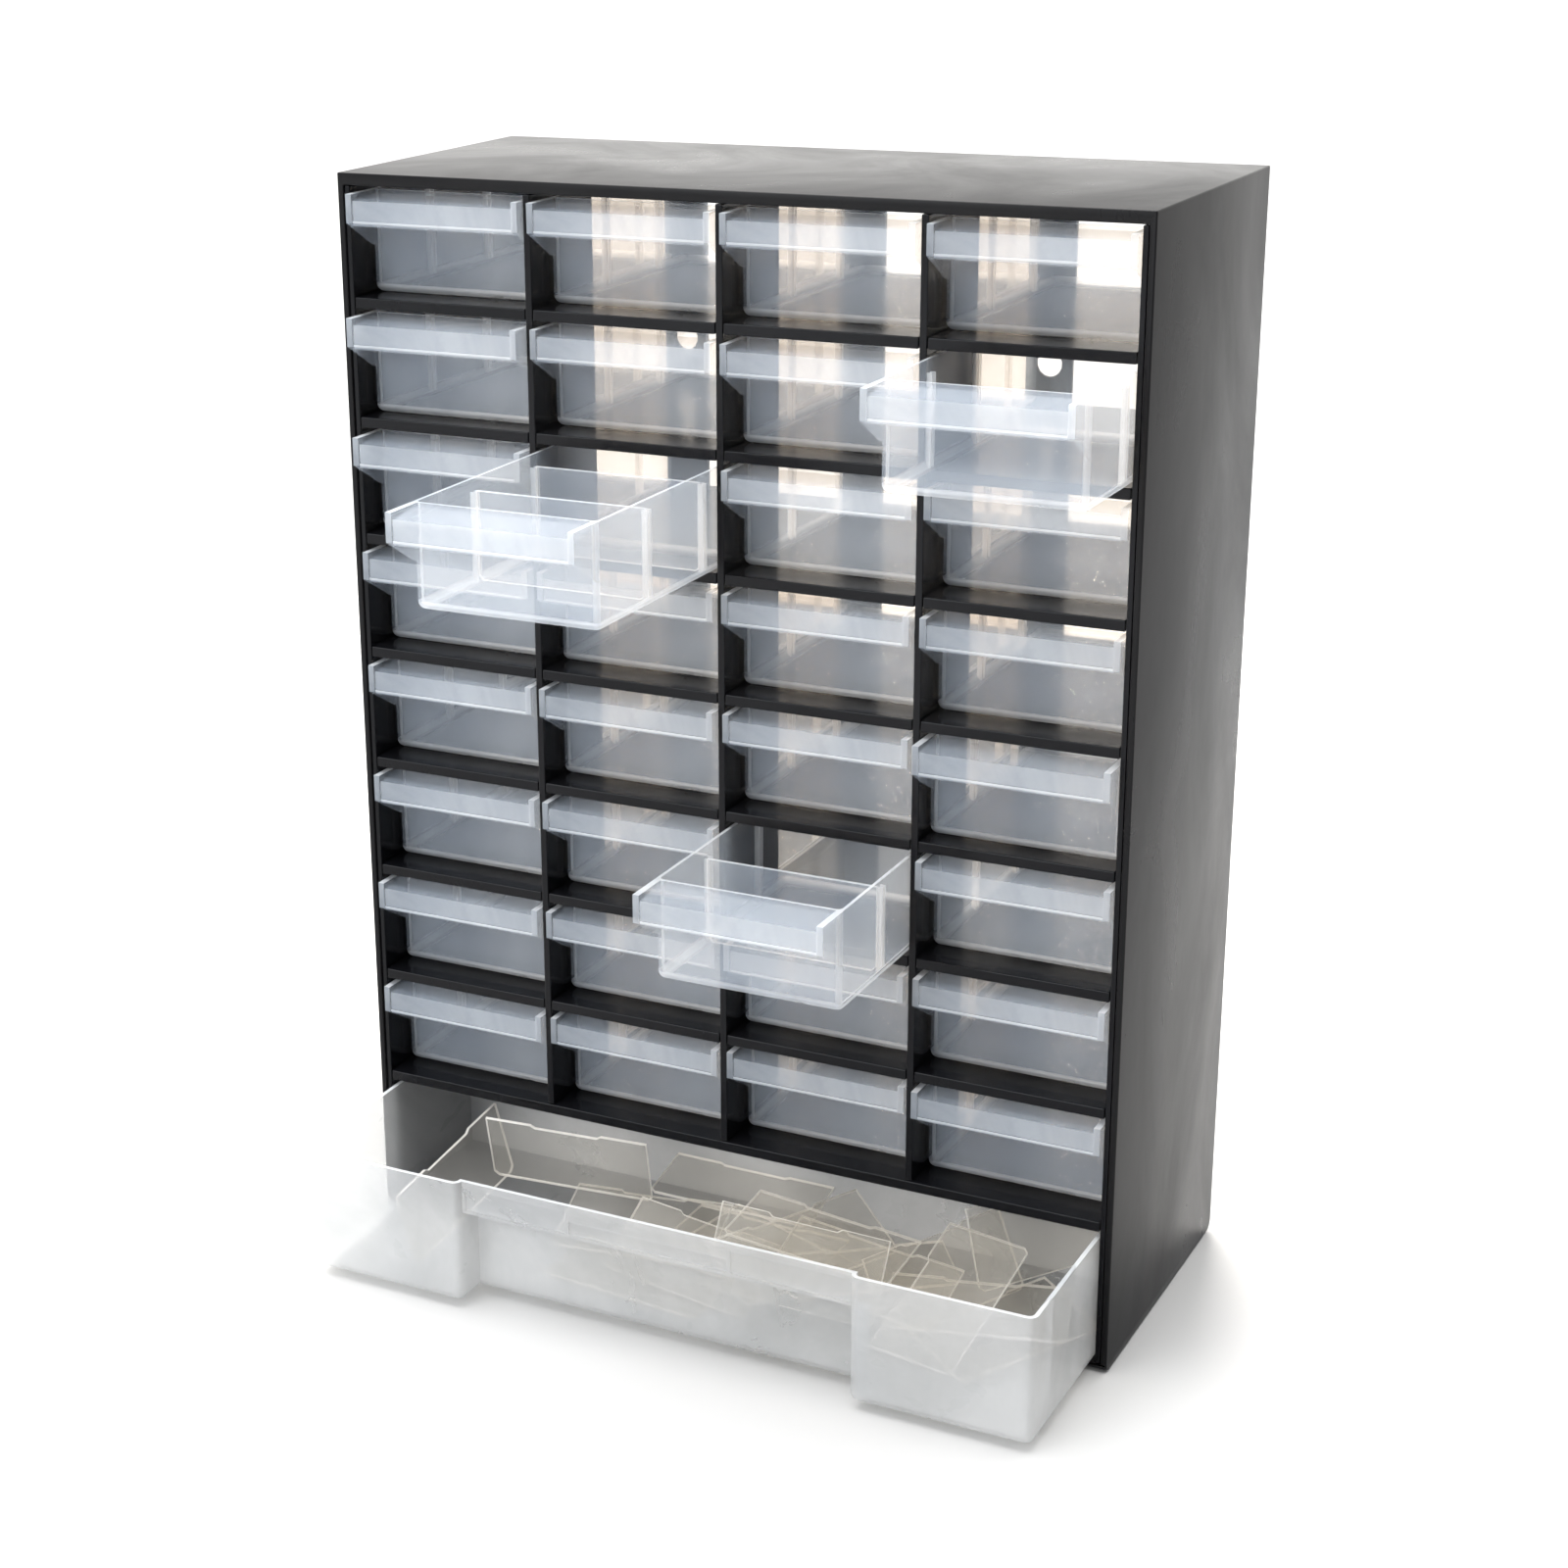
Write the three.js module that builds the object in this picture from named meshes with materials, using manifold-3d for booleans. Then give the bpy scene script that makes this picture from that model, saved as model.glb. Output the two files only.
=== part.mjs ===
// Parts organizer.
//
// A black sleeve-shaped casing holds an egg-crate rack: two grooved side racks, eight shelves that
// slide into their grooves, and three uprights half-lapped into the shelves. The rack makes eight rows
// of four pockets above one full-width pocket at the bottom. Three tie strips close the back between
// the columns; the outer two carry keyhole slots for wall hanging. Each pocket takes a translucent
// drawer that slides along Y. The wide bottom drawer holds loose divider plates; a few small drawers
// have divider plates standing in them.
//
// Frame: millimetres, +Z up, front of the cabinet towards -Y, +X to the right seen from the front.
// The origin is the middle of the face the casing stands on.

import * as THREE from "three";
import { mergeVertices } from "three/addons/utils/BufferGeometryUtils.js";
import Module from "manifold-3d";

const wasm = await Module();
wasm.setup();

// ---------------------------------------------------------------- driving dimensions, mm
const W = 306.8;            // casing width
const D = 126.4;            // casing depth
const H = 415.0;            // casing height
const SIDE_T = 2.4;         // casing side wall
const TOP_T = 4.4;          // casing top wall
const BOT_T = 2.7;          // casing bottom wall
const EDGE_R = 4.0;         // rounding of the casing's bottom front and bottom back edges
const REAR_T = 2.0;         // rear rim thickness
const REAR_RIM = 11.0;      // rear rim width at the sides
const REAR_RIM_Z = 9.0;     // rear rim height at top and bottom
const GAP = 0.3;            // clearance between pieces that touch

const RACK_T = 2.0;         // side rack plate thickness
const GROOVE = 1.0;         // depth of a side rack's groove
const COLS = 4, ROWS = 8;
const COL_PITCH = 75.15;    // column pitch
const ROW_PITCH = 44.33;    // row pitch
const SHELF_Z0 = 368.1;     // centre of the top shelf's front lip
const LIP_H = 4.0;          // front lip height of a shelf
const LIP_T = 2.5;          // front lip thickness
const SHELF_T = 2.0;        // shelf plate thickness
const UP_T = 2.7;           // upright thickness
const UP_D = 46.0;          // upright depth
const FRONT_SET = 0.6;      // the rack stands back from the casing's front edge by this

const STRIP_W = 18.0;       // rear tie strip
const KEY_R = 5.0;          // keyhole: round part
const KEY_SLOT_R = 2.4;     // keyhole: half width of the slot
const KEY_Z = 340.0;        // keyhole: centre of the round part
const KEY_UP = 12.0;        // keyhole: slot end above that centre

const DR_W = 71.3;          // small drawer width
const DR_H = 37.4;          // small drawer height
const DR_L = 122.0;         // small drawer length, pull band to rear wall
const DR_T = 1.2;           // small drawer wall
const DR_NOSE = 16.3;       // from the pull band's front to the front wall
const BAND_H = 10.4;        // pull band height
const BAND_IN = 1.0;        // the band stands back from the ears at its two ends
const BAND_DROP = 2.4;      // its top edge is this far below the ears and the rim
const EAR_W = 2.4;          // ear width
const BEVEL = 9.8;          // drop of the nose's lower edge from the band to the front wall
const DR_R = 3.4;           // rounding of the lower corners
const SHUT = -3.0;          // the band's front stands this far from the casing's front when shut
const OUT = 105.0;          // travel from shut to the end of the guides

const BIG_W = 296.4;        // wide drawer
const BIG_H = 50.0;
const BIG_L = 122.0;
const BIG_T = 1.6;
const LOBE_X = 79.5;        // inner side of each front lobe
const PANEL_IN = 3.0;       // the pull panel stands back from the lobes
const PANEL_H = 13.0;       // pull panel height
const RECESS = 14.0;        // recess of the wall under the panel
const BIG_R = 5.0;          // rounding of the lower front edge
const BIG_PULL = -63.5;     // front of the lobes, from the casing's front

const PLATE_W = 66.0;       // divider plate
const PLATE_H = 32.0;
const PLATE_T = 1.2;

const FRONT_Y = -D / 2;
const BACK_Y = D / 2;

// Front of each small drawer's pull band, measured from the casing's front, by row then column.
const PULL = [
  [-3.0, -2.6, -2.8, -2.4],
  [-6.3, -2.6, -3.0, -55.9],
  [-6.0, -101.8, -2.5, -0.6],
  [-3.0, -2.4, -3.0, -2.6],
  [-2.8, -3.1, -2.5, -7.4],
  [-2.6, -3.0, -73.2, -2.5],
  [-3.0, -2.5, -2.8, -3.0],
  [-2.5, -1.2, -0.4, -2.6],
];

// Divider plates standing in small drawers: [row, column, distance behind the front wall].
const STANDING = [
  [3, 2, 37.0],
  [3, 2, 79.0],
  [6, 3, 35.0],
];

// Loose divider plates in the wide drawer: centre x, y, z and rotation about X, Y, Z in degrees.
// y is measured from the front of the lobes, z from the drawer's floor.
const LOOSE = [
  [-66.4, 62.2, 34.1, 110.4, 2.4, 9.8],
  [-35.8, 63.9, 11.8, 22.9, -2.8, 4.0],
  [-8.7, 98.1, 17.5, 2.9, 3.7, 6.3],
  [38.5, 51.4, 25.6, 23.9, -5.2, 54.9],
  [104.0, 34.8, 28.9, 5.3, -17.7, 85.1],
  [-105.0, 40.0, 25.5, 84.0, -12.0, 84.0],
  [120.8, 92.0, 33.1, 73.4, -3.1, 50.9],
];

// ---------------------------------------------------------------- helpers
const MAT = {
  casing: new THREE.MeshStandardMaterial({ color: 0x17181a, roughness: 0.35, metalness: 0 }),
  rack: new THREE.MeshStandardMaterial({ color: 0x121316, roughness: 0.3, metalness: 0 }),
  drawer: new THREE.MeshStandardMaterial({ color: 0xdfe6ee, roughness: 0.3, metalness: 0, transparent: true, opacity: 0.55 }),
  plate: new THREE.MeshStandardMaterial({ color: 0xd9d6cc, roughness: 0.15, metalness: 0, transparent: true, opacity: 0.4 }),
};

function solid(geometry) {
  const g = geometry.clone();
  g.deleteAttribute("normal");
  g.deleteAttribute("uv");
  const m = mergeVertices(g, 1e-4);
  const mesh = new wasm.Mesh({
    numProp: 3,
    vertProperties: new Float32Array(m.attributes.position.array),
    triVerts: new Uint32Array(m.index.array),
  });
  return new wasm.Manifold(mesh);
}

function geometryOf(manifold) {
  const mesh = manifold.getMesh();
  const g = new THREE.BufferGeometry();
  g.setAttribute("position", new THREE.BufferAttribute(new Float32Array(mesh.vertProperties), 3));
  g.setIndex(new THREE.BufferAttribute(new Uint32Array(mesh.triVerts), 1));
  g.computeVertexNormals();
  return g;
}

function block(x0, x1, y0, y1, z0, z1) {
  const g = new THREE.BoxGeometry(x1 - x0, y1 - y0, z1 - z0);
  g.translate((x0 + x1) / 2, (y0 + y1) / 2, (z0 + z1) / 2);
  return solid(g);
}

function outline(points) {
  return new THREE.Shape(points.map(([a, b]) => new THREE.Vector2(a, b)));
}

// A profile drawn in (y, z), swept along X.
function sweepX(points, x0, x1) {
  const g = new THREE.ExtrudeGeometry(outline(points), { depth: x1 - x0, bevelEnabled: false, curveSegments: 4 });
  g.applyMatrix4(new THREE.Matrix4().makeBasis(
    new THREE.Vector3(0, 1, 0), new THREE.Vector3(0, 0, 1), new THREE.Vector3(1, 0, 0)));
  g.translate(x0, 0, 0);
  return solid(g);
}

// A profile drawn in (x, z), swept along Y.
function sweepY(points, y0, y1) {
  const g = new THREE.ExtrudeGeometry(outline(points), { depth: y1 - y0, bevelEnabled: false, curveSegments: 4 });
  g.applyMatrix4(new THREE.Matrix4().makeBasis(
    new THREE.Vector3(1, 0, 0), new THREE.Vector3(0, 0, 1), new THREE.Vector3(0, -1, 0)));
  g.translate(0, y1, 0);
  return solid(g);
}

// Corner arc of a profile: centre (a, b), radius r, from angle t0 to t1 in degrees, n segments.
function arc(a, b, r, t0, t1, n) {
  const out = [];
  for (let i = 0; i <= n; i++) {
    const t = THREE.MathUtils.degToRad(t0 + (t1 - t0) * i / n);
    out.push([a + r * Math.cos(t), b + r * Math.sin(t)]);
  }
  return out;
}

const root = new THREE.Group();

function add(name, geometry, material, x = 0, y = 0, z = 0) {
  const mesh = new THREE.Mesh(geometry, material);
  mesh.name = name;
  mesh.position.set(x, y, z);
  root.add(mesh);
  return mesh;
}

const shelfZ = (i) => SHELF_Z0 - ROW_PITCH * i;               // centre of shelf i's lip, i = 0..7
const floorZ = (row) => shelfZ(row) + LIP_H / 2;               // top face of the shelf under a row
const colX = (col) => {                                        // middle of a column's pocket
  const inner = W / 2 - SIDE_T - GAP - RACK_T;
  const edges = [-inner, -COL_PITCH - UP_T / 2, -COL_PITCH + UP_T / 2, -UP_T / 2,
    UP_T / 2, COL_PITCH - UP_T / 2, COL_PITCH + UP_T / 2, inner];
  return (edges[2 * col] + edges[2 * col + 1]) / 2;
};
const DIV_X = [-COL_PITCH, 0, COL_PITCH];

// ---------------------------------------------------------------- casing
{
  const side = [
    ...arc(FRONT_Y + EDGE_R, EDGE_R, EDGE_R, 180, 270, 3),
    ...arc(BACK_Y - EDGE_R, EDGE_R, EDGE_R, 270, 360, 3),
    [BACK_Y, H], [FRONT_Y, H],
  ];
  let casing = sweepX(side, -W / 2, W / 2);
  casing = casing.subtract(block(-W / 2 + SIDE_T, W / 2 - SIDE_T, FRONT_Y - 1, BACK_Y - REAR_T, BOT_T, H - TOP_T));
  casing = casing.subtract(block(-W / 2 + REAR_RIM, W / 2 - REAR_RIM, BACK_Y - REAR_T - 1, BACK_Y + 1, REAR_RIM_Z, H - REAR_RIM_Z));
  add("casing", geometryOf(casing), MAT.casing);
}

// ---------------------------------------------------------------- side racks
{
  const y0 = FRONT_Y + FRONT_SET, y1 = BACK_Y - REAR_T - GAP;
  const xo = W / 2 - SIDE_T - GAP;
  for (const [name, s] of [["side_rack_left", -1], ["side_rack_right", 1]]) {
    const xa = s * xo, xb = s * (xo - RACK_T);
    let rack = block(Math.min(xa, xb), Math.max(xa, xb), y0, y1, BOT_T + GAP, H - TOP_T - GAP);
    for (let i = 0; i < ROWS; i++) {
      const z = shelfZ(i) + LIP_H / 2;
      const xg = xb + s * GROOVE;
      rack = rack.subtract(block(Math.min(xb, xg) - (s > 0 ? 1 : 0), Math.max(xb, xg) + (s > 0 ? 0 : 1),
        y0 + 3, y1 + 1, z - SHELF_T - GAP, z + GAP));
    }
    add(name, geometryOf(rack), MAT.rack);
  }
}

// ---------------------------------------------------------------- shelves
const innerX = W / 2 - SIDE_T - GAP - RACK_T;
for (let i = 0; i < ROWS; i++) {
  const top = LIP_H / 2;
  const y0 = FRONT_Y + FRONT_SET, y1 = BACK_Y - REAR_T - GAP;
  const wide = innerX + GROOVE - GAP;
  let shelf = block(-wide, wide, y0 + 3 + GAP, y1, top - SHELF_T, top);
  shelf = shelf.add(block(-innerX + GAP, innerX - GAP, y0, y0 + 3.4 + GAP, top - SHELF_T, top));
  shelf = shelf.add(block(-innerX + GAP, innerX - GAP, y0, y0 + LIP_T, -LIP_H / 2, top));
  for (const x of DIV_X) {
    if (i < ROWS - 1) {
      shelf = shelf.subtract(block(x - UP_T / 2 - GAP, x + UP_T / 2 + GAP, y0 - 1, y0 + UP_D / 2 + GAP, -LIP_H, LIP_H));
    }
  }
  add(`shelf_${i + 1}`, geometryOf(shelf), MAT.rack, 0, 0, shelfZ(i));
}

// ---------------------------------------------------------------- uprights
for (let k = 0; k < DIV_X.length; k++) {
  const y0 = FRONT_Y + FRONT_SET;
  const zb = floorZ(ROWS - 1) + GAP;
  let up = block(-UP_T / 2, UP_T / 2, y0, y0 + UP_D, zb, H - TOP_T - GAP);
  for (let i = 0; i < ROWS - 1; i++) {
    const z = shelfZ(i) + LIP_H / 2;
    up = up.subtract(block(-UP_T, UP_T, y0 + UP_D / 2, y0 + UP_D + 1, z - SHELF_T - GAP, z + GAP));
  }
  add(`upright_${k + 1}`, geometryOf(up), MAT.rack, DIV_X[k], 0, 0);
}

// ---------------------------------------------------------------- rear tie strips
for (let k = 0; k < DIV_X.length; k++) {
  const y0 = BACK_Y - REAR_T, y1 = BACK_Y;
  let strip = block(-STRIP_W / 2, STRIP_W / 2, y0, y1, REAR_RIM_Z + GAP, H - REAR_RIM_Z - GAP);
  if (k !== 1) {
    const key = [
      ...arc(0, KEY_Z, KEY_R, 90 + 28.7, 360 + 90 - 28.7, 12),
      ...arc(0, KEY_Z + KEY_UP, KEY_SLOT_R, 0, 180, 5),
    ];
    strip = strip.subtract(sweepY(key, y0 - 1, y1 + 1));
  }
  add(`back_strip_${k + 1}`, geometryOf(strip), MAT.rack, DIV_X[k], 0, 0);
}

// ---------------------------------------------------------------- small drawers
// Local frame: x across, y = 0 at the pull band's front, z = 0 at the underside.
function trayEnd(w, h, r) {
  return [
    ...arc(-w / 2 + r, r, r, 180, 270, 2),
    ...arc(w / 2 - r, r, r, 270, 360, 2),
    [w / 2, h], [-w / 2, h],
  ];
}

function smallDrawer() {
  let d = sweepY(trayEnd(DR_W, DR_H, DR_R), DR_NOSE, DR_L);
  const nose = [
    [0, DR_H - BAND_H], [DR_NOSE + 0.5, DR_H - BAND_H - BEVEL], [DR_NOSE + 0.5, DR_H], [0, DR_H],
  ];
  d = d.add(sweepX(nose, -DR_W / 2, DR_W / 2));
  const band = [
    [-1, DR_H - BAND_H - 1], [BAND_IN, DR_H - BAND_H - 1], [BAND_IN, DR_H - BAND_DROP], [DR_NOSE, DR_H], [DR_NOSE, DR_H + 1], [-1, DR_H + 1],
  ];
  d = d.subtract(sweepX(band, -DR_W / 2 + EAR_W, DR_W / 2 - EAR_W));
  const y0 = BAND_IN + DR_T, zb = DR_H - BAND_H - BEVEL - 2;
  const hollow = [[y0, zb], [DR_NOSE, zb], [DR_NOSE, DR_H - DR_T], [y0, DR_H - BAND_DROP - DR_T]];
  d = d.subtract(sweepX(hollow, -DR_W / 2 + DR_T, DR_W / 2 - DR_T));
  const inner = trayEnd(DR_W - 2 * DR_T, DR_H + 1, DR_R - DR_T).map(([x, z]) => [x, z + DR_T]);
  d = d.subtract(sweepY(inner, DR_NOSE + DR_T, DR_L - DR_T));
  return d;
}

const smallGeometry = geometryOf(smallDrawer());
for (let r = 0; r < ROWS; r++) {
  for (let c = 0; c < COLS; c++) {
    add(`drawer_r${r + 1}c${c + 1}`, smallGeometry, MAT.drawer,
      colX(c), FRONT_Y + PULL[r][c], floorZ(r) + GAP);
  }
}

// ---------------------------------------------------------------- wide bottom drawer
// Local frame: x across, y = 0 at the front of the lobes, z = 0 at the underside.
function wideProfile(front, panel, inset, h) {
  // Side profile of the lobes (panel = false) or of the recessed middle (panel = true).
  const y1 = BIG_L - inset, z0 = inset;
  if (!panel) {
    const r = BIG_R - inset;
    return [
      ...arc(front + inset + r, z0 + r, r, 180, 270, 3), [y1, z0], [y1, h], [front + inset, h],
    ];
  }
  const r = BIG_R - inset;
  const ya = PANEL_IN + inset, yb = RECESS + inset;
  return [
    ...arc(yb + r, z0 + r, r, 180, 270, 3), [y1, z0], [y1, h], [ya, h],
    [ya, BIG_H - PANEL_H + inset * 0.45], [yb, BIG_H - PANEL_H - 6 + inset * 0.45],
  ];
}

function wideDrawer() {
  const x = BIG_W / 2;
  let d = sweepX(wideProfile(0, true, 0, BIG_H), -x, x);
  d = d.add(sweepX(wideProfile(0, false, 0, BIG_H), -x, -LOBE_X));
  d = d.add(sweepX(wideProfile(0, false, 0, BIG_H), LOBE_X, x));
  d = d.subtract(sweepX(wideProfile(0, true, BIG_T, BIG_H + 1), -x + BIG_T, x - BIG_T));
  d = d.subtract(sweepX(wideProfile(0, false, BIG_T, BIG_H + 1), -x + BIG_T, -LOBE_X - BIG_T));
  d = d.subtract(sweepX(wideProfile(0, false, BIG_T, BIG_H + 1), LOBE_X + BIG_T, x - BIG_T));
  return d;
}
add("drawer_wide", geometryOf(wideDrawer()), MAT.drawer, 0, FRONT_Y + BIG_PULL, BOT_T + GAP);

// ---------------------------------------------------------------- divider plates
function plate() {
  const c = 2.0, w = PLATE_W / 2, h = PLATE_H / 2;
  const s = outline([[-w + c, -h], [w - c, -h], [w, -h + c], [w, h], [-w, h], [-w, -h + c]]);
  const g = new THREE.ExtrudeGeometry(s, { depth: PLATE_T, bevelEnabled: false });
  g.translate(0, 0, -PLATE_T / 2);
  return geometryOf(solid(g));
}
const plateGeometry = plate();

const counts = {};
for (const [r, c, back] of STANDING) {
  const key = `r${r}c${c}`;
  counts[key] = (counts[key] || 0) + 1;
  const m = add(`divider_${key}_${counts[key]}`, plateGeometry, MAT.plate,
    colX(c - 1), FRONT_Y + PULL[r - 1][c - 1] + DR_NOSE + DR_T + back,
    floorZ(r - 1) + GAP + DR_T + GAP + PLATE_H / 2);
  m.rotation.set(Math.PI / 2, 0, 0);
}

LOOSE.forEach(([x, y, z, rx, ry, rz], i) => {
  const m = add(`loose_divider_${i + 1}`, plateGeometry, MAT.plate,
    x, FRONT_Y + BIG_PULL + y, BOT_T + GAP + BIG_T + z);
  m.rotation.order = "ZYX";
  m.rotation.set(THREE.MathUtils.degToRad(rx), THREE.MathUtils.degToRad(ry), THREE.MathUtils.degToRad(rz));
});

export default root;
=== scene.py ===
# Parts organizer: the visual model on the CAD frame.
# Row frame, metres: +Z up, front towards -Y, origin in the middle of the underside.
import math

import bmesh
import bpy
from mathutils import Euler, Matrix, Vector


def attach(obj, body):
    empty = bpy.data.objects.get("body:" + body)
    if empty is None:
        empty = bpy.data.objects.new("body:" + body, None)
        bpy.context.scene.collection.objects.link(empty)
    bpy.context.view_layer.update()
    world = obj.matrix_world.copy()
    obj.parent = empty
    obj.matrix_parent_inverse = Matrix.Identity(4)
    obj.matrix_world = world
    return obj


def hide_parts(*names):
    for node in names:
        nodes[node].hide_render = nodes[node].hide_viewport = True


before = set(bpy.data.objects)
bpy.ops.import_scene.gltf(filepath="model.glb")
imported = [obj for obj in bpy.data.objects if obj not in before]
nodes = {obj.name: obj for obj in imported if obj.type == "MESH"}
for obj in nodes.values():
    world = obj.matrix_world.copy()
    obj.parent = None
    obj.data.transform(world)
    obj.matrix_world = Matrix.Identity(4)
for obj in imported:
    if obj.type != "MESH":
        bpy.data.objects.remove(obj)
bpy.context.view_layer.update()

MM = 0.001

# ------------------------------------------------------------------ dimensions, mm
W, D, H = 306.8, 126.4, 415.0
SIDE_T, TOP_T, BOT_T, EDGE_R = 2.4, 4.4, 2.7, 4.0
REAR_T, REAR_RIM, REAR_RIM_Z = 2.0, 11.0, 9.0
GAP, RACK_T = 0.3, 2.0
COL_PITCH, ROW_PITCH, SHELF_Z0, LIP_H, UP_T = 75.15, 44.33, 368.1, 4.0, 2.7
DR_W, DR_H, DR_L, DR_T, DR_NOSE = 71.3, 37.4, 122.0, 1.2, 16.3
BAND_H, BAND_IN, BAND_DROP, EAR_W, BEVEL = 10.4, 1.0, 2.4, 2.4, 9.8
BIG_W, BIG_H, BIG_L, BIG_T, LOBE_X = 296.4, 50.0, 122.0, 1.6, 79.5
PANEL_IN, PANEL_H, RECESS, BIG_PULL = 3.0, 13.0, 14.0, -63.5
PLATE_W, PLATE_H, PLATE_T = 66.0, 32.0, 1.2
FRONT_Y, BACK_Y = -D / 2, D / 2
PULL = [
    [-3.0, -2.6, -2.8, -2.4],
    [-6.3, -2.6, -3.0, -55.9],
    [-6.0, -101.8, -2.5, -0.6],
    [-3.0, -2.4, -3.0, -2.6],
    [-2.8, -3.1, -2.5, -7.4],
    [-2.6, -3.0, -73.2, -2.5],
    [-3.0, -2.5, -2.8, -3.0],
    [-2.5, -1.2, -0.4, -2.6],
]
STANDING = [(3, 2, 37.0), (3, 2, 79.0), (6, 3, 35.0)]
LOOSE = [
    (-66.4, 62.2, 34.1, 110.4, 2.4, 9.8),
    (-35.8, 63.9, 11.8, 22.9, -2.8, 4.0),
    (-8.7, 98.1, 17.5, 2.9, 3.7, 6.3),
    (38.5, 51.4, 25.6, 23.9, -5.2, 54.9),
    (104.0, 34.8, 28.9, 5.3, -17.7, 85.1),
    (-105.0, 40.0, 25.5, 84.0, -12.0, 84.0),
    (120.8, 92.0, 33.1, 73.4, -3.1, 50.9),
]
EXTRA = [
    (47.5, 26.5, 32.7, 61.8, 2.2, 2.1),
    (86.6, 73.3, 15.2, 61.4, -1.4, 62.2),
    (109.7, 47.5, 19.8, 8.1, -0.6, 14.7),
    (-25.9, 42.7, 1.9, 1.6, 1.3, -3.4),
    (-5.6, 47.8, 12.8, 37.0, 1.1, -9.3),
    (13.4, 79.1, 3.9, 5.7, 2.9, -17.5),
    (52.8, 80.2, 5.6, 2.3, -0.5, 35.4),
    (68.0, 40.6, 26.9, 19.9, 5.9, -1.0),
    (49.3, 44.9, 35.2, 5.4, 5.3, -0.7),
    (114.5, 62.6, 4.6, 13.3, -0.5, 61.2),
    (1.1, 89.8, 1.3, 1.2, -0.4, -2.1),
]

inner = W / 2 - SIDE_T - GAP - RACK_T
edges = [-inner, -COL_PITCH - UP_T / 2, -COL_PITCH + UP_T / 2, -UP_T / 2,
         UP_T / 2, COL_PITCH - UP_T / 2, COL_PITCH + UP_T / 2, inner]
col_x = [(edges[2 * c] + edges[2 * c + 1]) / 2 for c in range(4)]


def floor_z(row):
    return SHELF_Z0 - ROW_PITCH * row + LIP_H / 2


# ------------------------------------------------------------------ mesh helpers, in mm
scene = bpy.context.scene
work = scene.collection


def temp(bm, name="tmp"):
    mesh = bpy.data.meshes.new(name)
    bmesh.ops.recalc_face_normals(bm, faces=bm.faces)
    bm.to_mesh(mesh)
    bm.free()
    obj = bpy.data.objects.new(name, mesh)
    work.objects.link(obj)
    return obj


def arc(a, b, r, t0, t1, n):
    return [(a + r * math.cos(math.radians(t0 + (t1 - t0) * i / n)),
             b + r * math.sin(math.radians(t0 + (t1 - t0) * i / n))) for i in range(n + 1)]


def prism(points, along, a0, a1):
    """A closed prism. points are (y, z) swept along x, (x, z) along y, or (x, y) along z."""
    bm = bmesh.new()
    put = {"x": lambda u, v, a: (a, u, v), "y": lambda u, v, a: (u, a, v), "z": lambda u, v, a: (u, v, a)}[along]
    lo = [bm.verts.new(put(u, v, a0)) for u, v in points]
    hi = [bm.verts.new(put(u, v, a1)) for u, v in points]
    bm.faces.new(lo)
    bm.faces.new(hi)
    for i in range(len(points)):
        j = (i + 1) % len(points)
        bm.faces.new((lo[i], lo[j], hi[j], hi[i]))
    return temp(bm)


def slab(x0, x1, y0, y1, z0, z1):
    return prism([(x0, y0), (x1, y0), (x1, y1), (x0, y1)], "z", z0, z1)


def tub(x0, x1, y0, y1, z0, z1, r, n=5):
    """A block whose upright and bottom edges are rounded; its top edges are sharp."""
    bm = bmesh.new()
    bmesh.ops.create_cube(bm, size=1.0)
    for v in bm.verts:
        v.co = Vector((x0 if v.co.x < 0 else x1, y0 if v.co.y < 0 else y1, z0 if v.co.z < 0 else z1))
    soft = [e for e in bm.edges
            if not (abs(e.verts[0].co.z - z1) < 1e-3 and abs(e.verts[1].co.z - z1) < 1e-3)]
    bmesh.ops.bevel(bm, geom=soft, offset=r, segments=n, profile=0.5, affect="EDGES", clamp_overlap=True)
    return temp(bm)


def carve(base, other, op):
    m = base.modifiers.new("b", "BOOLEAN")
    m.operation, m.object, m.solver = op, other, "EXACT"
    dg = bpy.context.evaluated_depsgraph_get()
    mesh = bpy.data.meshes.new_from_object(base.evaluated_get(dg))
    base.modifiers.clear()
    old = base.data
    base.data = mesh
    bpy.data.meshes.remove(old)
    gone = other.data
    bpy.data.objects.remove(other)
    bpy.data.meshes.remove(gone)
    return base


def add(base, other):
    return carve(base, other, "UNION")


def cut(base, other):
    return carve(base, other, "DIFFERENCE")


def tidy(obj):
    bm = bmesh.new()
    bm.from_mesh(obj.data)
    bmesh.ops.remove_doubles(bm, verts=bm.verts, dist=1e-3)
    bmesh.ops.dissolve_degenerate(bm, edges=bm.edges, dist=1e-3)
    bmesh.ops.dissolve_limit(bm, angle_limit=math.radians(0.4), verts=bm.verts, edges=bm.edges)
    bm.to_mesh(obj.data)
    bm.free()


def round_edges(obj, width, segments=2, angle=28, edge_slot=None):
    m = obj.modifiers.new("soft", "BEVEL")
    m.width, m.segments, m.limit_method, m.angle_limit = width, segments, "ANGLE", math.radians(angle)
    m.use_clamp_overlap = True
    m.miter_outer = "MITER_ARC"
    if edge_slot is not None:
        m.material = edge_slot
    dg = bpy.context.evaluated_depsgraph_get()
    mesh = bpy.data.meshes.new_from_object(obj.evaluated_get(dg))
    obj.modifiers.clear()
    old = obj.data
    obj.data = mesh
    bpy.data.meshes.remove(old)
    return obj


def final_mesh(obj, name, smooth=40):
    """Takes the finished shape off its working object, in metres."""
    mesh = obj.data
    mesh.transform(Matrix.Scale(MM, 4))
    mesh.name = name
    mesh.polygons.foreach_set("use_smooth", [True] * len(mesh.polygons))
    mesh.set_sharp_from_angle(angle=math.radians(smooth))
    mesh.update()
    bpy.data.objects.remove(obj)
    return mesh


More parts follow.
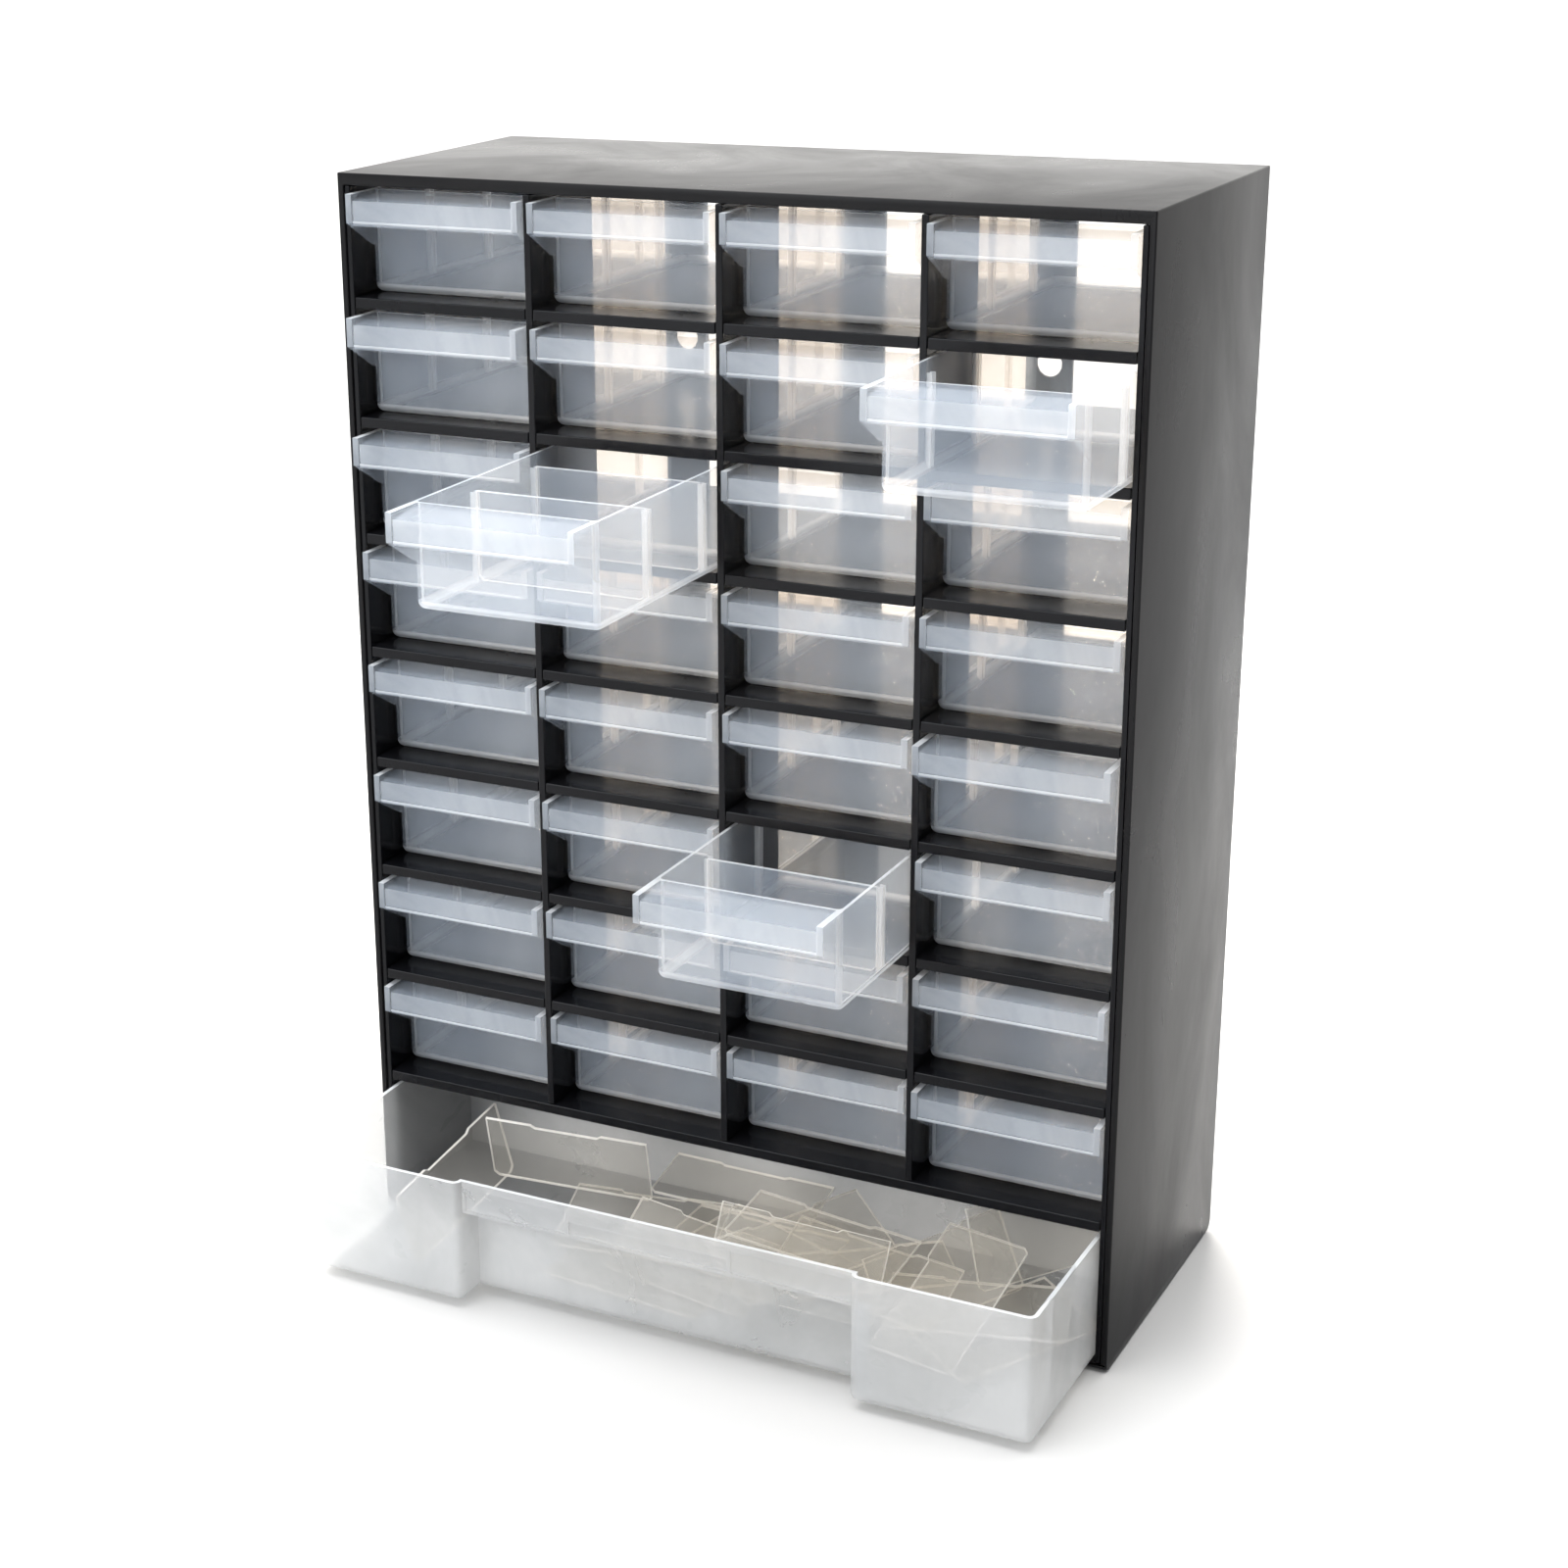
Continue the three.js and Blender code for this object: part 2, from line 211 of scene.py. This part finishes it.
# ------------------------------------------------------------------ materials
def new_material(name):
    mat = bpy.data.materials.new(name)
    mat.use_nodes = True
    nt = mat.node_tree
    nt.nodes.clear()
    out = nt.nodes.new("ShaderNodeOutputMaterial")
    return mat, nt, out


def noise(nt, scale, detail=4.0, rough=0.55, stretch=(1, 1, 1), distortion=0.0):
    tc = nt.nodes.new("ShaderNodeTexCoord")
    mp = nt.nodes.new("ShaderNodeMapping")
    mp.inputs["Scale"].default_value = stretch
    nz = nt.nodes.new("ShaderNodeTexNoise")
    nz.inputs["Scale"].default_value = scale
    nz.inputs["Detail"].default_value = detail
    nz.inputs["Roughness"].default_value = rough
    nz.inputs["Distortion"].default_value = distortion
    nt.links.new(tc.outputs["Object"], mp.inputs["Vector"])
    nt.links.new(mp.outputs["Vector"], nz.inputs["Vector"])
    return nz.outputs["Fac"]


def remap(nt, value, lo, hi, a=0.3, b=0.7):
    mr = nt.nodes.new("ShaderNodeMapRange")
    mr.inputs["From Min"].default_value = a
    mr.inputs["From Max"].default_value = b
    mr.inputs["To Min"].default_value = lo
    mr.inputs["To Max"].default_value = hi
    nt.links.new(value, mr.inputs["Value"])
    return mr.outputs["Result"]


def ramp(nt, value, stops):
    cr = nt.nodes.new("ShaderNodeValToRGB")
    cr.color_ramp.elements[0].position, cr.color_ramp.elements[0].color = stops[0][0], (*stops[0][1], 1)
    cr.color_ramp.elements[1].position, cr.color_ramp.elements[1].color = stops[-1][0], (*stops[-1][1], 1)
    for pos, colour in stops[1:-1]:
        e = cr.color_ramp.elements.new(pos)
        e.color = (*colour, 1)
    nt.links.new(value, cr.inputs["Fac"])
    return cr.outputs["Color"]


def black_plastic(name, dark, light, rough_lo, rough_hi, bump, spec):
    """Moulded black plastic: faint upright mottle, satin patches and a very fine grain."""
    mat, nt, out = new_material(name)
    bs = nt.nodes.new("ShaderNodeBsdfPrincipled")
    bs.inputs["Specular IOR Level"].default_value = spec
    mottle = noise(nt, 22.0, 5.0, 0.6, (1.0, 1.0, 0.35), 0.4)
    nt.links.new(ramp(nt, mottle, [(0.32, dark), (0.7, light)]), bs.inputs["Base Color"])
    patch = noise(nt, 14.0, 6.0, 0.62, (1.0, 1.0, 0.5), 0.8)
    nt.links.new(remap(nt, patch, rough_lo, rough_hi), bs.inputs["Roughness"])
    grain = noise(nt, 1500.0, 2.0, 0.5)
    wave = noise(nt, 30.0, 3.0, 0.5)
    b1 = nt.nodes.new("ShaderNodeBump")
    b1.inputs["Strength"].default_value = bump
    b1.inputs["Distance"].default_value = 0.00008
    nt.links.new(grain, b1.inputs["Height"])
    b2 = nt.nodes.new("ShaderNodeBump")
    b2.inputs["Strength"].default_value = 0.25
    b2.inputs["Distance"].default_value = 0.0006
    nt.links.new(wave, b2.inputs["Height"])
    nt.links.new(b1.outputs["Normal"], b2.inputs["Normal"])
    nt.links.new(b2.outputs["Normal"], bs.inputs["Normal"])
    nt.links.new(bs.outputs["BSDF"], out.inputs["Surface"])
    return mat


def milky(name, through, haze_a, haze_b, fac_lo, fac_hi, rough, glow, scale=18.0):
    """Translucent plastic: light passes through it slightly warm and scatters from it slightly blue."""
    mat, nt, out = new_material(name)
    clear = nt.nodes.new("ShaderNodeBsdfTransparent")
    clear.inputs["Color"].default_value = (*through, 1)
    bs = nt.nodes.new("ShaderNodeBsdfPrincipled")
    bs.inputs["Specular IOR Level"].default_value = 0.5
    cloud = noise(nt, scale, 5.0, 0.6, (1, 1, 1), 0.6)
    nt.links.new(ramp(nt, cloud, [(0.3, haze_a), (0.72, haze_b)]), bs.inputs["Base Color"])
    streak = noise(nt, 60.0, 3.0, 0.5, (1.0, 0.25, 1.0), 0.3)
    nt.links.new(remap(nt, streak, rough - 0.07, rough + 0.1), bs.inputs["Roughness"])
    bump = nt.nodes.new("ShaderNodeBump")
    bump.inputs["Strength"].default_value = 0.2
    bump.inputs["Distance"].default_value = 0.0004
    nt.links.new(noise(nt, 45.0, 3.0, 0.5), bump.inputs["Height"])
    nt.links.new(bump.outputs["Normal"], bs.inputs["Normal"])
    tl = nt.nodes.new("ShaderNodeBsdfTranslucent")
    tl.inputs["Color"].default_value = (*haze_b, 1)
    body = nt.nodes.new("ShaderNodeMixShader")
    body.inputs["Fac"].default_value = glow
    nt.links.new(bs.outputs["BSDF"], body.inputs[1])
    nt.links.new(tl.outputs["BSDF"], body.inputs[2])
    mix = nt.nodes.new("ShaderNodeMixShader")
    nt.links.new(remap(nt, cloud, fac_lo, fac_hi), mix.inputs["Fac"])
    nt.links.new(clear.outputs["BSDF"], mix.inputs[1])
    nt.links.new(body.outputs["Shader"], mix.inputs[2])
    nt.links.new(mix.outputs["Shader"], out.inputs["Surface"])
    return mat


m_case = black_plastic("case_black", (0.005, 0.005, 0.0057), (0.008, 0.0078, 0.0083), 0.24, 0.38, 0.1, 0.1)
m_rack = black_plastic("rack_black", (0.0028, 0.003, 0.004), (0.005, 0.0052, 0.0065), 0.12, 0.22, 0.15, 0.12)
m_wall = milky("drawer_wall", (0.985, 0.958, 0.925), (0.58, 0.72, 0.94), (0.76, 0.86, 0.98), 0.118, 0.18, 0.24, 0.42)
m_thick = milky("drawer_thick", (0.98, 0.955, 0.925), (0.72, 0.81, 0.93), (0.86, 0.91, 0.97), 0.26, 0.40, 0.26, 0.5)
m_rim = milky("drawer_edge", (0.98, 0.965, 0.94), (0.82, 0.88, 0.95), (0.95, 0.97, 1.0), 0.42, 0.62, 0.25, 0.4)
m_big = milky("wide_wall", (0.85, 0.85, 0.845), (0.82, 0.845, 0.87), (0.89, 0.90, 0.915), 0.23, 0.31, 0.32, 0.22, 12.0)
m_big_rim = milky("wide_edge", (0.98, 0.97, 0.95), (0.88, 0.92, 0.96), (0.96, 0.98, 1.0), 0.6, 0.75, 0.28, 0.4)
m_plate = milky("plate_face", (0.945, 0.935, 0.915), (0.76, 0.745, 0.71), (0.88, 0.87, 0.84), 0.07, 0.14, 0.14, 0.4, 26.0)
m_plate_rim = milky("plate_edge", (0.97, 0.95, 0.91), (0.92, 0.89, 0.84), (0.98, 0.96, 0.93), 0.55, 0.8, 0.15, 0.45)


def piece(name, mesh, materials, body, replaces, place=Matrix.Identity(4)):
    if not mesh.materials:
        for m in materials:
            mesh.materials.append(m)
    obj = bpy.data.objects.new(name, mesh)
    work.objects.link(obj)
    obj.matrix_world = place
    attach(obj, body)
    if replaces:
        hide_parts(*replaces)
    return obj


# ------------------------------------------------------------------ casing
side = arc(FRONT_Y + EDGE_R, EDGE_R, EDGE_R, 180, 270, 8) + arc(BACK_Y - EDGE_R, EDGE_R, EDGE_R, 270, 360, 8) \
    + [(BACK_Y, H), (FRONT_Y, H)]
case = prism(side, "x", -W / 2, W / 2)
case = cut(case, slab(-W / 2 + SIDE_T, W / 2 - SIDE_T, FRONT_Y - 1, BACK_Y - REAR_T, BOT_T, H - TOP_T))
case = cut(case, slab(-W / 2 + REAR_RIM, W / 2 - REAR_RIM, BACK_Y - REAR_T - 1, BACK_Y + 1, REAR_RIM_Z, H - REAR_RIM_Z))
tidy(case)
round_edges(case, 0.7, 3)
piece("casing_shell", final_mesh(case, "casing_shell"), [m_case], "cabinet", ["casing"])

# ------------------------------------------------------------------ rack: the CAD parts themselves, with softened edges
for name, obj in nodes.items():
    if name.startswith(("side_rack", "shelf", "upright", "back_strip")):
        obj.data.materials.clear()
        obj.data.materials.append(m_rack)
        weld = obj.modifiers.new("weld", "WELD")
        weld.merge_threshold = 2e-6
        flat = obj.modifiers.new("flat", "DECIMATE")
        flat.decimate_type, flat.angle_limit = "DISSOLVE", math.radians(0.5)
        soft = obj.modifiers.new("soft", "BEVEL")
        soft.width, soft.segments, soft.limit_method, soft.angle_limit = 0.00035, 2, "ANGLE", math.radians(28)
        soft.use_clamp_overlap = True

# ------------------------------------------------------------------ small drawers
tray = tub(-DR_W / 2, DR_W / 2, DR_NOSE, DR_L, 0, DR_H, 3.0)
zb = DR_H - BAND_H
nose = [(0, zb), (DR_NOSE, zb - BEVEL), (DR_NOSE + 4, zb - BEVEL), (DR_NOSE + 4, DR_H), (0, DR_H)]
tray = add(tray, prism(nose, "x", -DR_W / 2, DR_W / 2))
ex = DR_W / 2 - EAR_W
tray = cut(tray, prism([(-1, zb - 1), (BAND_IN, zb - 1), (BAND_IN, DR_H - BAND_DROP), (DR_NOSE, DR_H - 0.2), (DR_NOSE, DR_H + 1), (-1, DR_H + 1)],
                       "x", -ex, ex))
y0, zl = BAND_IN + DR_T, zb - BEVEL - 2
tray = cut(tray, prism([(y0, zl), (DR_NOSE, zl), (DR_NOSE, DR_H - 1.5), (y0, DR_H - BAND_DROP - DR_T)],
                       "x", -DR_W / 2 + DR_T, DR_W / 2 - DR_T))
tray = cut(tray, tub(-DR_W / 2 + DR_T, DR_W / 2 - DR_T, DR_NOSE + DR_T, DR_L - DR_T, DR_T, DR_H + 2, 1.8, 4))
tray = add(tray, slab(-ex - 0.5, ex + 0.5, 0.5, BAND_IN + 0.4, zb, zb + 0.8))           # bead along the band's lower edge
for ry in (54.5, 96.5):
    for off in (-1.35, 1.35):
        for s in (-1, 1):
            xa, xb = s * (DR_W / 2 - DR_T + 0.3), s * (DR_W / 2 - DR_T - 1.9)
            tray = add(tray, slab(min(xa, xb), max(xa, xb), ry + off - 0.4, ry + off + 0.4, DR_T - 0.3, 33.0))
tidy(tray)
for m in (m_wall, m_rim, m_thick):
    tray.data.materials.append(m)
for p in tray.data.polygons:
    n, c = p.normal, p.center
    top = n.z > 0.95 and c.z > DR_H - 0.3
    ear = n.y < -0.95 and c.y < 0.2
    bead = n.y < -0.95 and c.y < 0.6
    curved = max(abs(n.x), abs(n.y), abs(n.z)) < 0.995 and (c.z < 3.4 or DR_NOSE - 0.5 < c.y < DR_NOSE + 3.4) and not 3.5 < c.z < 17
    rib = abs(c.x) < DR_W / 2 - DR_T - 0.1 and abs(c.x) > DR_W / 2 - DR_T - 2.2 and (abs(c.y - 54.5) < 2 or abs(c.y - 96.5) < 2)
    band = n.y < -0.95 and c.y < 1.2
    p.material_index = 1 if (top or (bead and not ear and c.z < zb + 1)) else 2 if (ear or band or curved or rib) else 0
round_edges(tray, 0.22, 2, 28, 1)
tray_mesh = final_mesh(tray, "small_drawer")
for r in range(8):
    for c in range(4):
        n = f"r{r + 1}c{c + 1}"
        at = Matrix.Translation(Vector((col_x[c], FRONT_Y + PULL[r][c], floor_z(r) + GAP)) * MM)
        piece("tray_" + n, tray_mesh, [m_wall, m_rim], "drawer_" + n, ["drawer_" + n], at)

# ------------------------------------------------------------------ wide drawer
bx = BIG_W / 2
big = tub(-bx, bx, RECESS, BIG_L, 0, BIG_H, 3.6)
for s in (-1, 1):
    big = add(big, tub(min(s * bx, s * LOBE_X), max(s * bx, s * LOBE_X), 0, 44, 0, BIG_H, 3.6))
pz = BIG_H - PANEL_H
big = add(big, prism([(PANEL_IN, pz), (PANEL_IN, BIG_H), (RECESS + 6, BIG_H), (RECESS + 6, pz - 6), (RECESS, pz - 6)],
                     "x", -LOBE_X - 1, LOBE_X + 1))
t = BIG_T
inside = arc(RECESS + t + 2, t + 2, 2, 180, 270, 4) + [(BIG_L - t, t), (BIG_L - t, BIG_H + 2), (PANEL_IN + t, BIG_H + 2),
                                                      (PANEL_IN + t, pz + 0.7), (RECESS + t, pz - 5.3)]
big = cut(big, prism(inside, "x", -bx + t, bx - t))
for s in (-1, 1):
    xa, xb = s * (bx - t), s * (LOBE_X + t)
    big = cut(big, tub(min(xa, xb), max(xa, xb), t, 46, t, BIG_H + 2, 2.0, 4))
for xa, xb, za, zc, dp in ((-78.3, -35.5, 38.4, 47.2, 0.45), (-33.9, 30.8, 38.4, 43.6, 0.75), (32.4, 78.3, 38.4, 47.2, 0.45)):
    big = cut(big, slab(xa, xb, PANEL_IN - 1, PANEL_IN + dp, za, zc))
tidy(big)
for m in (m_big, m_big_rim):
    big.data.materials.append(m)
for p in big.data.polygons:
    p.material_index = 1 if p.normal.z > 0.95 and p.center.z > BIG_H - 0.2 else 0
round_edges(big, 0.34, 2, 28, 1)
piece("wide_tray", final_mesh(big, "wide_drawer"), [m_big, m_big_rim], "drawer_wide", ["drawer_wide"],
      Matrix.Translation(Vector((0, FRONT_Y + BIG_PULL, BOT_T + GAP)) * MM))

# ------------------------------------------------------------------ divider plates
pw, ph, ch = PLATE_W / 2, PLATE_H / 2, 2.0
shape = [(-pw + ch, -ph), (pw - ch, -ph), (pw, -ph + ch), (pw, ph), (14.5, ph), (12.6, ph - 1.3), (-12.6, ph - 1.3), (-14.5, ph),
         (-pw, ph), (-pw, -ph + ch)]
plate = prism(shape, "z", -PLATE_T / 2, PLATE_T / 2)
for m in (m_plate, m_plate_rim):
    plate.data.materials.append(m)
for p in plate.data.polygons:
    p.material_index = 0 if abs(p.normal.z) > 0.9 else 1
round_edges(plate, 0.22, 2, 28, 1)
plate_mesh = final_mesh(plate, "divider_plate")
plain = prism([(-pw + ch, -ph), (pw - ch, -ph), (pw, -ph + ch), (pw, ph), (-pw, ph), (-pw, -ph + ch)], "z", -PLATE_T / 2, PLATE_T / 2)
for m in (m_wall, m_rim):
    plain.data.materials.append(m)
for p in plain.data.polygons:
    p.material_index = 0 if abs(p.normal.z) > 0.9 else 1
round_edges(plain, 0.22, 2, 28, 1)
plain_mesh = final_mesh(plain, "standing_plate")
seen = {}
for r, c, back in STANDING:
    key = f"r{r}c{c}"
    seen[key] = seen.get(key, 0) + 1
    at = Vector((col_x[c - 1], FRONT_Y + PULL[r - 1][c - 1] + DR_NOSE + DR_T + back,
                 floor_z(r - 1) + GAP + DR_T + GAP + PLATE_H / 2)) * MM
    node = f"divider_{key}_{seen[key]}"
    piece("plate_" + key + "_" + str(seen[key]), plain_mesh, [], "drawer_" + key, [node],
          Matrix.Translation(at) @ Matrix.Rotation(math.pi / 2, 4, "X"))
for i, (x, y, z, rx, ry, rz) in enumerate(LOOSE + EXTRA):
    at = Vector((x, FRONT_Y + BIG_PULL + y, BOT_T + GAP + BIG_T + z)) * MM
    turn = Euler([math.radians(a) for a in (rx, ry, rz)], "XYZ").to_matrix().to_4x4()
    piece(f"loose_plate_{i + 1}", plate_mesh, [], "drawer_wide",
          [f"loose_divider_{i + 1}"] if i < len(LOOSE) else [], Matrix.Translation(at) @ turn)

# ------------------------------------------------------------------ floor, light, camera
bm = bmesh.new()
bmesh.ops.create_grid(bm, x_segments=1, y_segments=1, size=40.0)
floor_mesh = bpy.data.meshes.new("studio_floor")
bm.to_mesh(floor_mesh)
bm.free()
floor = bpy.data.objects.new("studio_floor", floor_mesh)
work.objects.link(floor)
floor.location.z = -0.0004
mat, nt, out = new_material("floor_pale")
bs = nt.nodes.new("ShaderNodeBsdfPrincipled")
bs.inputs["Base Color"].default_value = (0.45, 0.45, 0.45, 1)
bs.inputs["Roughness"].default_value = 0.9
bs.inputs["Specular IOR Level"].default_value = 0.1
tc = nt.nodes.new("ShaderNodeTexCoord")
far = nt.nodes.new("ShaderNodeVectorMath")
far.operation = "LENGTH"
nt.links.new(tc.outputs["Object"], far.inputs[0])
nt.links.new(ramp(nt, remap(nt, far.outputs["Value"], 0.0, 1.0, 0.35, 2.6), [(0.0, (0.47, 0.47, 0.47)), (1.0, (0.95, 0.95, 0.95))]), bs.inputs["Base Color"])
nt.links.new(bs.outputs["BSDF"], out.inputs["Surface"])
floor_mesh.materials.append(mat)

world = bpy.data.worlds.new("studio")
scene.world = world
world.use_nodes = True
wt = world.node_tree
wt.nodes.clear()
wo = wt.nodes.new("ShaderNodeOutputWorld")
bg = wt.nodes.new("ShaderNodeBackground")
tc = wt.nodes.new("ShaderNodeTexCoord")
dot = wt.nodes.new("ShaderNodeVectorMath")
dot.operation = "DOT_PRODUCT"
dot.inputs[1].default_value = Vector((-0.22, 0.85, 0.47)).normalized()
wt.links.new(tc.outputs["Generated"], dot.inputs[0])
cr = wt.nodes.new("ShaderNodeValToRGB")
cr.color_ramp.interpolation = "EASE"
cr.color_ramp.elements[0].position, cr.color_ramp.elements[0].color = 0.35, (0.14, 0.143, 0.15, 1)
cr.color_ramp.elements[1].position, cr.color_ramp.elements[1].color = 0.97, (0.86, 0.85, 0.83, 1)
half = wt.nodes.new("ShaderNodeMath")
half.operation = "MULTIPLY_ADD"
half.inputs[1].default_value, half.inputs[2].default_value = 0.5, 0.5
wt.links.new(dot.outputs["Value"], half.inputs[0])
wt.links.new(half.outputs["Value"], cr.inputs["Fac"])
wt.links.new(cr.outputs["Color"], bg.inputs["Color"])
bg.inputs["Strength"].default_value = 2.25
wt.links.new(bg.outputs["Background"], wo.inputs["Surface"])


def softbox(name, where, at, size, watts, colour=(1, 1, 1)):
    light = bpy.data.lights.new(name, "AREA")
    light.shape, light.size, light.size_y = "RECTANGLE", size[0], size[1]
    light.energy, light.color = watts, colour
    obj = bpy.data.objects.new(name, light)
    work.objects.link(obj)
    obj.location = where
    obj.rotation_mode = "QUATERNION"
    obj.rotation_quaternion = (Vector(at) - Vector(where)).to_track_quat("-Z", "Y")
    return obj


softbox("overhead", (-0.3, -0.15, 2.4), (0, -0.1, 0.1), (2.2, 2.0), 115)
softbox("front", (-0.8, -2.25, 1.2), (0, 0, 0.15), (1.8, 1.5), 52, (0.95, 0.975, 1.0))
behind = softbox("behind", (-0.5, 1.1, 0.5), (0, 0, 0.22), (0.9, 0.7), 15, (1.0, 0.955, 0.90))
behind.data.spread = math.radians(70)
behind.visible_camera = False
behind.visible_glossy = False

cam_data = bpy.data.cameras.new("camera")
cam_data.sensor_width, cam_data.lens = 36.0, 65.36
cam_data.sensor_fit = "AUTO"
cam_data.shift_x, cam_data.shift_y = 0.1174, 0.016
cam_data.clip_start, cam_data.clip_end = 0.05, 100
cam_data.dof.use_dof = False
cam = bpy.data.objects.new("camera", cam_data)
work.objects.link(cam)
az, el, roll = math.radians(28.74), math.radians(19.35), math.radians(-1.2)
right = Vector((math.cos(az), math.sin(az), 0))
back = Vector((math.sin(az) * math.cos(el), -math.cos(az) * math.cos(el), math.sin(el)))
up = back.cross(right)
right2 = right * math.cos(roll) + up * math.sin(roll)
up2 = up * math.cos(roll) - right * math.sin(roll)
m = Matrix((right2, up2, back)).transposed().to_4x4()
m.translation = Vector((0.43043, -0.93964, 0.53711))
cam.matrix_world = m
scene.camera = cam

scene.view_settings.view_transform = "Standard"
scene.view_settings.look = "None"
scene.cycles.max_bounces = 16
scene.cycles.diffuse_bounces = 4
scene.cycles.glossy_bounces = 4
scene.cycles.transmission_bounces = 8
scene.cycles.transparent_max_bounces = 40
scene.cycles.use_denoising = True
scene.cycles.denoising_prefilter = "ACCURATE"
